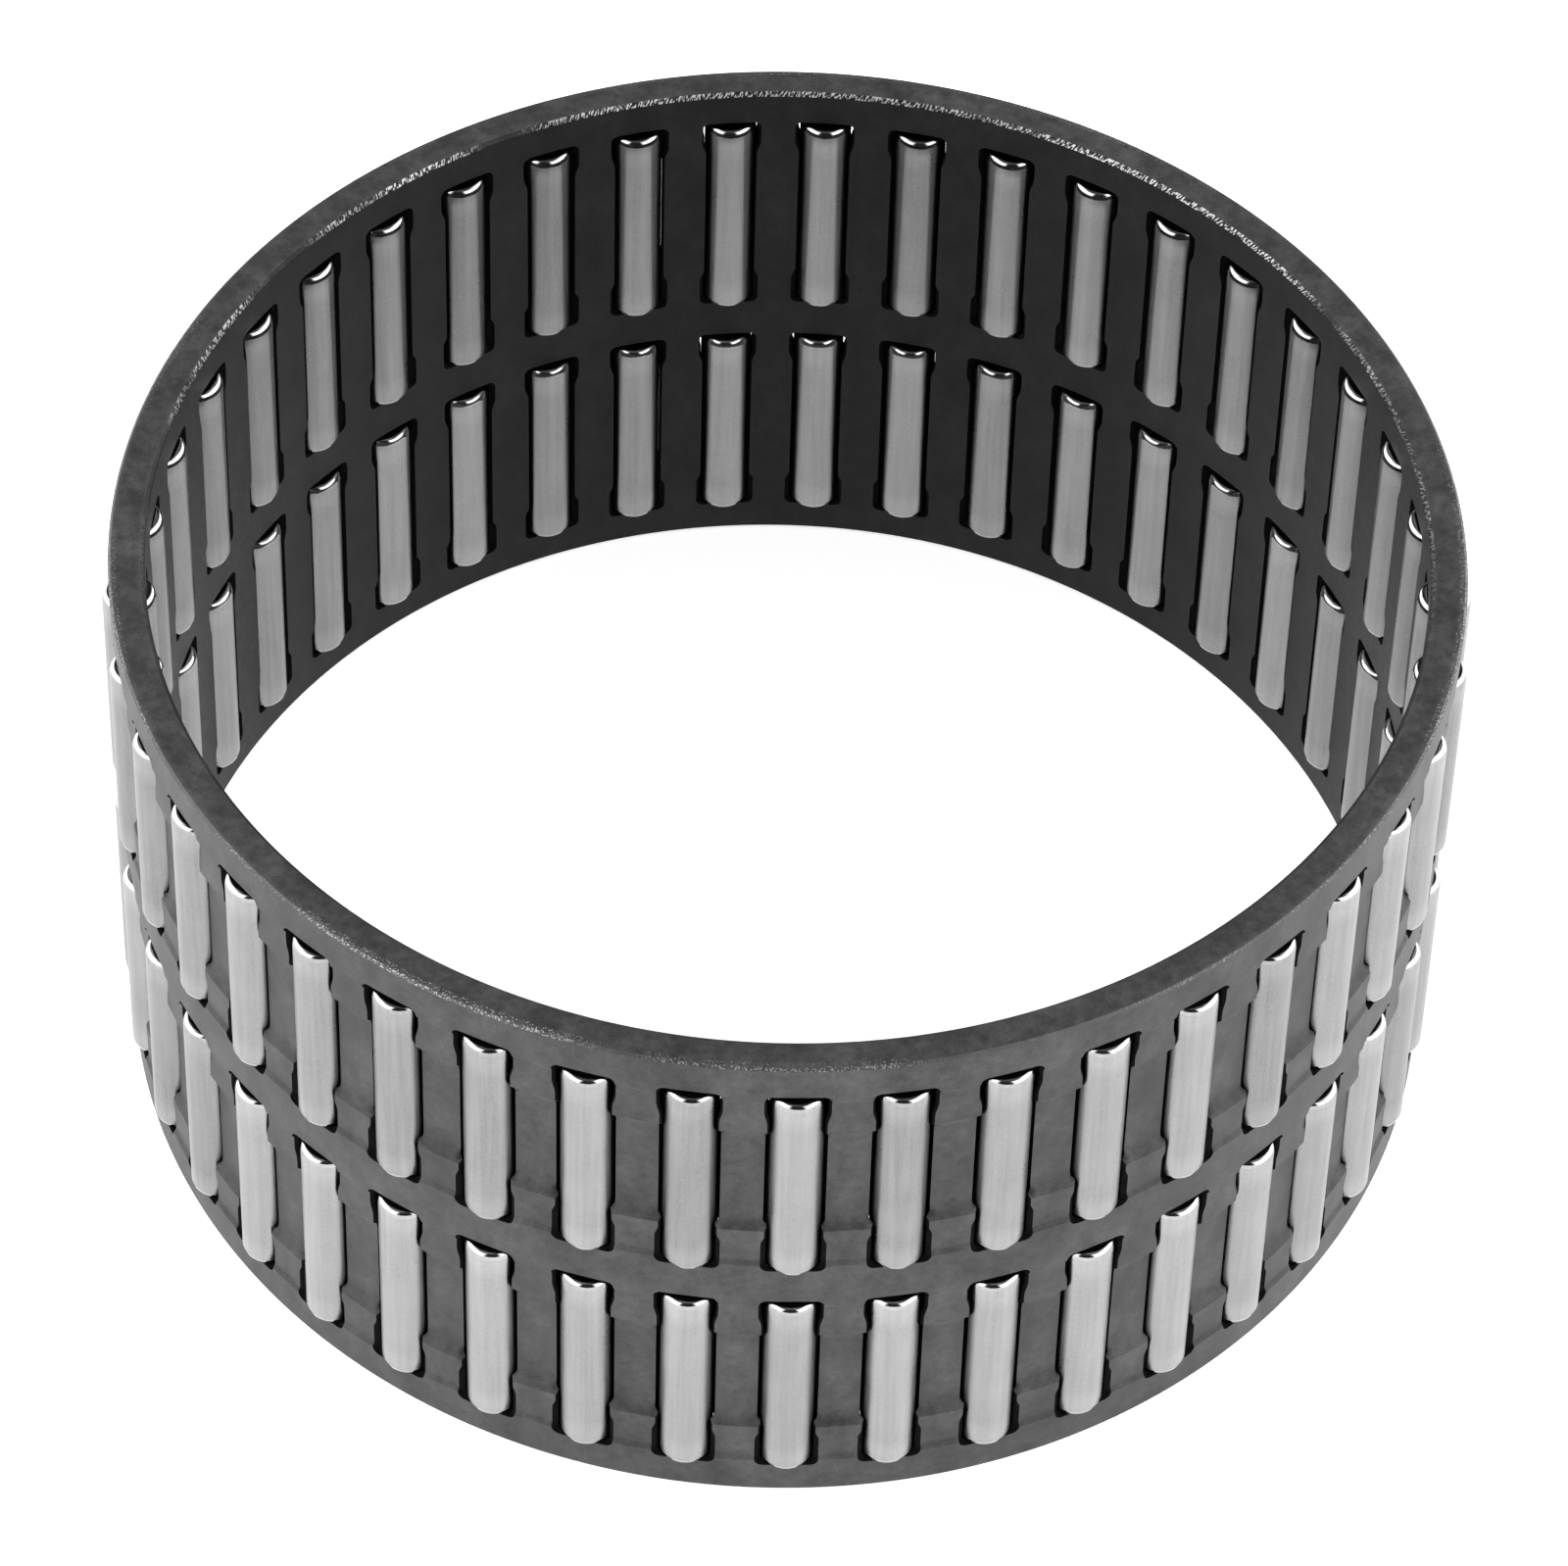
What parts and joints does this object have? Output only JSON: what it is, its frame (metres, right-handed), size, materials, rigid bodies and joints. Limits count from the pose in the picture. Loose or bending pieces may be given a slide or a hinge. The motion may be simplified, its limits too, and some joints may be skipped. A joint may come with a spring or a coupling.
{
  "type": "needle roller bearing",
  "caption": "Double-row radial needle roller and cage assembly without rings: a turned steel cage holding two rows of free-turning needle rollers around a large open bore.",
  "frame": {"origin": "centre of the bearing, on its axis and half way up the cage", "axes": "+Z along the bearing's axis, square to the rim faces; +X through the first roller position"},
  "size_m": [0.1003, 0.1004, 0.049],
  "materials": {
    "cage_steel": "blackened steel, satin",
    "roller_steel": "ground bearing steel, satin"
  },
  "bodies": {
    "cage": {"cage": "cage_steel"},
    "roller_pair_01": {"roller_pair_01": "roller_steel"},
    "roller_pair_02": {"roller_pair_02": "roller_steel"},
    "roller_pair_03": {"roller_pair_03": "roller_steel"},
    "roller_pair_04": {"roller_pair_04": "roller_steel"},
    "roller_pair_05": {"roller_pair_05": "roller_steel"},
    "roller_pair_06": {"roller_pair_06": "roller_steel"},
    "roller_pair_07": {"roller_pair_07": "roller_steel"},
    "roller_pair_08": {"roller_pair_08": "roller_steel"},
    "roller_pair_09": {"roller_pair_09": "roller_steel"},
    "roller_pair_10": {"roller_pair_10": "roller_steel"},
    "roller_pair_11": {"roller_pair_11": "roller_steel"},
    "roller_pair_12": {"roller_pair_12": "roller_steel"},
    "roller_pair_13": {"roller_pair_13": "roller_steel"},
    "roller_pair_14": {"roller_pair_14": "roller_steel"},
    "roller_pair_15": {"roller_pair_15": "roller_steel"},
    "roller_pair_16": {"roller_pair_16": "roller_steel"},
    "roller_pair_17": {"roller_pair_17": "roller_steel"},
    "roller_pair_18": {"roller_pair_18": "roller_steel"},
    "roller_pair_19": {"roller_pair_19": "roller_steel"},
    "roller_pair_20": {"roller_pair_20": "roller_steel"},
    "roller_pair_21": {"roller_pair_21": "roller_steel"},
    "roller_pair_22": {"roller_pair_22": "roller_steel"},
    "roller_pair_23": {"roller_pair_23": "roller_steel"},
    "roller_upper_24": {"roller_upper_24": "roller_steel"},
    "roller_lower_24": {"roller_lower_24": "roller_steel"},
    "roller_upper_25": {"roller_upper_25": "roller_steel"},
    "roller_lower_25": {"roller_lower_25": "roller_steel"},
    "roller_upper_26": {"roller_upper_26": "roller_steel"},
    "roller_lower_26": {"roller_lower_26": "roller_steel"},
    "roller_upper_27": {"roller_upper_27": "roller_steel"},
    "roller_lower_27": {"roller_lower_27": "roller_steel"},
    "roller_upper_28": {"roller_upper_28": "roller_steel"},
    "roller_lower_28": {"roller_lower_28": "roller_steel"},
    "roller_upper_29": {"roller_upper_29": "roller_steel"},
    "roller_lower_29": {"roller_lower_29": "roller_steel"},
    "roller_upper_30": {"roller_upper_30": "roller_steel"},
    "roller_lower_30": {"roller_lower_30": "roller_steel"},
    "roller_upper_31": {"roller_upper_31": "roller_steel"},
    "roller_lower_31": {"roller_lower_31": "roller_steel"},
    "roller_upper_32": {"roller_upper_32": "roller_steel"},
    "roller_lower_32": {"roller_lower_32": "roller_steel"},
    "roller_upper_33": {"roller_upper_33": "roller_steel"},
    "roller_lower_33": {"roller_lower_33": "roller_steel"},
    "roller_upper_34": {"roller_upper_34": "roller_steel"},
    "roller_lower_34": {"roller_lower_34": "roller_steel"},
    "roller_upper_35": {"roller_upper_35": "roller_steel"},
    "roller_lower_35": {"roller_lower_35": "roller_steel"},
    "roller_upper_36": {"roller_upper_36": "roller_steel"},
    "roller_lower_36": {"roller_lower_36": "roller_steel"},
    "roller_upper_37": {"roller_upper_37": "roller_steel"},
    "roller_lower_37": {"roller_lower_37": "roller_steel"},
    "roller_upper_38": {"roller_upper_38": "roller_steel"},
    "roller_lower_38": {"roller_lower_38": "roller_steel"},
    "roller_upper_39": {"roller_upper_39": "roller_steel"},
    "roller_lower_39": {"roller_lower_39": "roller_steel"},
    "roller_upper_40": {"roller_upper_40": "roller_steel"},
    "roller_lower_40": {"roller_lower_40": "roller_steel"},
    "roller_upper_41": {"roller_upper_41": "roller_steel"},
    "roller_lower_41": {"roller_lower_41": "roller_steel"}
  },
  "joints": [
    {"name": "pair_01_spin", "type": "hinge", "parent": "cage", "child": "roller_pair_01", "pos_m": [0.0482, 0, 0], "axis": [0, 0, 1], "continuous": true},
    {"name": "pair_02_spin", "type": "hinge", "parent": "cage", "child": "roller_pair_02", "pos_m": [0.04764, 0.00736, 0], "axis": [0, 0, 1], "continuous": true},
    {"name": "pair_03_spin", "type": "hinge", "parent": "cage", "child": "roller_pair_03", "pos_m": [0.04595, 0.01454, 0], "axis": [0, 0, 1], "continuous": true},
    {"name": "pair_04_spin", "type": "hinge", "parent": "cage", "child": "roller_pair_04", "pos_m": [0.0432, 0.02139, 0], "axis": [0, 0, 1], "continuous": true},
    {"name": "pair_05_spin", "type": "hinge", "parent": "cage", "child": "roller_pair_05", "pos_m": [0.03942, 0.02773, 0], "axis": [0, 0, 1], "continuous": true},
    {"name": "pair_06_spin", "type": "hinge", "parent": "cage", "child": "roller_pair_06", "pos_m": [0.03473, 0.03342, 0], "axis": [0, 0, 1], "continuous": true},
    {"name": "pair_07_spin", "type": "hinge", "parent": "cage", "child": "roller_pair_07", "pos_m": [0.02922, 0.03833, 0], "axis": [0, 0, 1], "continuous": true},
    {"name": "pair_08_spin", "type": "hinge", "parent": "cage", "child": "roller_pair_08", "pos_m": [0.02303, 0.04234, 0], "axis": [0, 0, 1], "continuous": true},
    {"name": "pair_09_spin", "type": "hinge", "parent": "cage", "child": "roller_pair_09", "pos_m": [0.01629, 0.04536, 0], "axis": [0, 0, 1], "continuous": true},
    {"name": "pair_10_spin", "type": "hinge", "parent": "cage", "child": "roller_pair_10", "pos_m": [0.00918, 0.04732, 0], "axis": [0, 0, 1], "continuous": true},
    {"name": "pair_11_spin", "type": "hinge", "parent": "cage", "child": "roller_pair_11", "pos_m": [0.00185, 0.04816, 0], "axis": [0, 0, 1], "continuous": true},
    {"name": "pair_12_spin", "type": "hinge", "parent": "cage", "child": "roller_pair_12", "pos_m": [-0.00553, 0.04788, 0], "axis": [0, 0, 1], "continuous": true},
    {"name": "pair_13_spin", "type": "hinge", "parent": "cage", "child": "roller_pair_13", "pos_m": [-0.01277, 0.04648, 0], "axis": [0, 0, 1], "continuous": true},
    {"name": "pair_14_spin", "type": "hinge", "parent": "cage", "child": "roller_pair_14", "pos_m": [-0.01972, 0.04398, 0], "axis": [0, 0, 1], "continuous": true},
    {"name": "pair_15_spin", "type": "hinge", "parent": "cage", "child": "roller_pair_15", "pos_m": [-0.0262, 0.04046, 0], "axis": [0, 0, 1], "continuous": true},
    {"name": "pair_16_spin", "type": "hinge", "parent": "cage", "child": "roller_pair_16", "pos_m": [-0.03207, 0.03598, 0], "axis": [0, 0, 1], "continuous": true},
    {"name": "pair_17_spin", "type": "hinge", "parent": "cage", "child": "roller_pair_17", "pos_m": [-0.03719, 0.03067, 0], "axis": [0, 0, 1], "continuous": true},
    {"name": "pair_18_spin", "type": "hinge", "parent": "cage", "child": "roller_pair_18", "pos_m": [-0.04143, 0.02463, 0], "axis": [0, 0, 1], "continuous": true},
    {"name": "pair_19_spin", "type": "hinge", "parent": "cage", "child": "roller_pair_19", "pos_m": [-0.04471, 0.01802, 0], "axis": [0, 0, 1], "continuous": true},
    {"name": "pair_20_spin", "type": "hinge", "parent": "cage", "child": "roller_pair_20", "pos_m": [-0.04693, 0.01098, 0], "axis": [0, 0, 1], "continuous": true},
    {"name": "pair_21_spin", "type": "hinge", "parent": "cage", "child": "roller_pair_21", "pos_m": [-0.04806, 0.00369, 0], "axis": [0, 0, 1], "continuous": true},
    {"name": "pair_22_spin", "type": "hinge", "parent": "cage", "child": "roller_pair_22", "pos_m": [-0.04806, -0.00369, 0], "axis": [0, 0, 1], "continuous": true},
    {"name": "pair_23_spin", "type": "hinge", "parent": "cage", "child": "roller_pair_23", "pos_m": [-0.04693, -0.01098, 0], "axis": [0, 0, 1], "continuous": true},
    {"name": "upper_24_spin", "type": "hinge", "parent": "cage", "child": "roller_upper_24", "pos_m": [-0.04471, -0.01802, 0.0116], "axis": [0, 0, 1], "continuous": true},
    {"name": "lower_24_spin", "type": "hinge", "parent": "cage", "child": "roller_lower_24", "pos_m": [-0.04471, -0.01802, -0.0116], "axis": [0, 0, 1], "continuous": true},
    {"name": "upper_25_spin", "type": "hinge", "parent": "cage", "child": "roller_upper_25", "pos_m": [-0.04143, -0.02463, 0.0116], "axis": [0, 0, 1], "continuous": true},
    {"name": "lower_25_spin", "type": "hinge", "parent": "cage", "child": "roller_lower_25", "pos_m": [-0.04143, -0.02463, -0.0116], "axis": [0, 0, 1], "continuous": true},
    {"name": "upper_26_spin", "type": "hinge", "parent": "cage", "child": "roller_upper_26", "pos_m": [-0.03719, -0.03067, 0.0116], "axis": [0, 0, 1], "continuous": true},
    {"name": "lower_26_spin", "type": "hinge", "parent": "cage", "child": "roller_lower_26", "pos_m": [-0.03719, -0.03067, -0.0116], "axis": [0, 0, 1], "continuous": true},
    {"name": "upper_27_spin", "type": "hinge", "parent": "cage", "child": "roller_upper_27", "pos_m": [-0.03207, -0.03598, 0.0116], "axis": [0, 0, 1], "continuous": true},
    {"name": "lower_27_spin", "type": "hinge", "parent": "cage", "child": "roller_lower_27", "pos_m": [-0.03207, -0.03598, -0.0116], "axis": [0, 0, 1], "continuous": true},
    {"name": "upper_28_spin", "type": "hinge", "parent": "cage", "child": "roller_upper_28", "pos_m": [-0.0262, -0.04046, 0.0116], "axis": [0, 0, 1], "continuous": true},
    {"name": "lower_28_spin", "type": "hinge", "parent": "cage", "child": "roller_lower_28", "pos_m": [-0.0262, -0.04046, -0.0116], "axis": [0, 0, 1], "continuous": true},
    {"name": "upper_29_spin", "type": "hinge", "parent": "cage", "child": "roller_upper_29", "pos_m": [-0.01972, -0.04398, 0.0116], "axis": [0, 0, 1], "continuous": true},
    {"name": "lower_29_spin", "type": "hinge", "parent": "cage", "child": "roller_lower_29", "pos_m": [-0.01972, -0.04398, -0.0116], "axis": [0, 0, 1], "continuous": true},
    {"name": "upper_30_spin", "type": "hinge", "parent": "cage", "child": "roller_upper_30", "pos_m": [-0.01277, -0.04648, 0.0116], "axis": [0, 0, 1], "continuous": true},
    {"name": "lower_30_spin", "type": "hinge", "parent": "cage", "child": "roller_lower_30", "pos_m": [-0.01277, -0.04648, -0.0116], "axis": [0, 0, 1], "continuous": true},
    {"name": "upper_31_spin", "type": "hinge", "parent": "cage", "child": "roller_upper_31", "pos_m": [-0.00553, -0.04788, 0.0116], "axis": [0, 0, 1], "continuous": true},
    {"name": "lower_31_spin", "type": "hinge", "parent": "cage", "child": "roller_lower_31", "pos_m": [-0.00553, -0.04788, -0.0116], "axis": [0, 0, 1], "continuous": true},
    {"name": "upper_32_spin", "type": "hinge", "parent": "cage", "child": "roller_upper_32", "pos_m": [0.00185, -0.04816, 0.0116], "axis": [0, 0, 1], "continuous": true},
    {"name": "lower_32_spin", "type": "hinge", "parent": "cage", "child": "roller_lower_32", "pos_m": [0.00185, -0.04816, -0.0116], "axis": [0, 0, 1], "continuous": true},
    {"name": "upper_33_spin", "type": "hinge", "parent": "cage", "child": "roller_upper_33", "pos_m": [0.00918, -0.04732, 0.0116], "axis": [0, 0, 1], "continuous": true},
    {"name": "lower_33_spin", "type": "hinge", "parent": "cage", "child": "roller_lower_33", "pos_m": [0.00918, -0.04732, -0.0116], "axis": [0, 0, 1], "continuous": true},
    {"name": "upper_34_spin", "type": "hinge", "parent": "cage", "child": "roller_upper_34", "pos_m": [0.01629, -0.04536, 0.0116], "axis": [0, 0, 1], "continuous": true},
    {"name": "lower_34_spin", "type": "hinge", "parent": "cage", "child": "roller_lower_34", "pos_m": [0.01629, -0.04536, -0.0116], "axis": [0, 0, 1], "continuous": true},
    {"name": "upper_35_spin", "type": "hinge", "parent": "cage", "child": "roller_upper_35", "pos_m": [0.02303, -0.04234, 0.0116], "axis": [0, 0, 1], "continuous": true},
    {"name": "lower_35_spin", "type": "hinge", "parent": "cage", "child": "roller_lower_35", "pos_m": [0.02303, -0.04234, -0.0116], "axis": [0, 0, 1], "continuous": true},
    {"name": "upper_36_spin", "type": "hinge", "parent": "cage", "child": "roller_upper_36", "pos_m": [0.02922, -0.03833, 0.0116], "axis": [0, 0, 1], "continuous": true},
    {"name": "lower_36_spin", "type": "hinge", "parent": "cage", "child": "roller_lower_36", "pos_m": [0.02922, -0.03833, -0.0116], "axis": [0, 0, 1], "continuous": true},
    {"name": "upper_37_spin", "type": "hinge", "parent": "cage", "child": "roller_upper_37", "pos_m": [0.03473, -0.03342, 0.0116], "axis": [0, 0, 1], "continuous": true},
    {"name": "lower_37_spin", "type": "hinge", "parent": "cage", "child": "roller_lower_37", "pos_m": [0.03473, -0.03342, -0.0116], "axis": [0, 0, 1], "continuous": true},
    {"name": "upper_38_spin", "type": "hinge", "parent": "cage", "child": "roller_upper_38", "pos_m": [0.03942, -0.02773, 0.0116], "axis": [0, 0, 1], "continuous": true},
    {"name": "lower_38_spin", "type": "hinge", "parent": "cage", "child": "roller_lower_38", "pos_m": [0.03942, -0.02773, -0.0116], "axis": [0, 0, 1], "continuous": true},
    {"name": "upper_39_spin", "type": "hinge", "parent": "cage", "child": "roller_upper_39", "pos_m": [0.0432, -0.02139, 0.0116], "axis": [0, 0, 1], "continuous": true},
    {"name": "lower_39_spin", "type": "hinge", "parent": "cage", "child": "roller_lower_39", "pos_m": [0.0432, -0.02139, -0.0116], "axis": [0, 0, 1], "continuous": true},
    {"name": "upper_40_spin", "type": "hinge", "parent": "cage", "child": "roller_upper_40", "pos_m": [0.04595, -0.01454, 0.0116], "axis": [0, 0, 1], "continuous": true},
    {"name": "lower_40_spin", "type": "hinge", "parent": "cage", "child": "roller_lower_40", "pos_m": [0.04595, -0.01454, -0.0116], "axis": [0, 0, 1], "continuous": true},
    {"name": "upper_41_spin", "type": "hinge", "parent": "cage", "child": "roller_upper_41", "pos_m": [0.04764, -0.00736, 0.0116], "axis": [0, 0, 1], "continuous": true},
    {"name": "lower_41_spin", "type": "hinge", "parent": "cage", "child": "roller_lower_41", "pos_m": [0.04764, -0.00736, -0.0116], "axis": [0, 0, 1], "continuous": true}
  ]
}
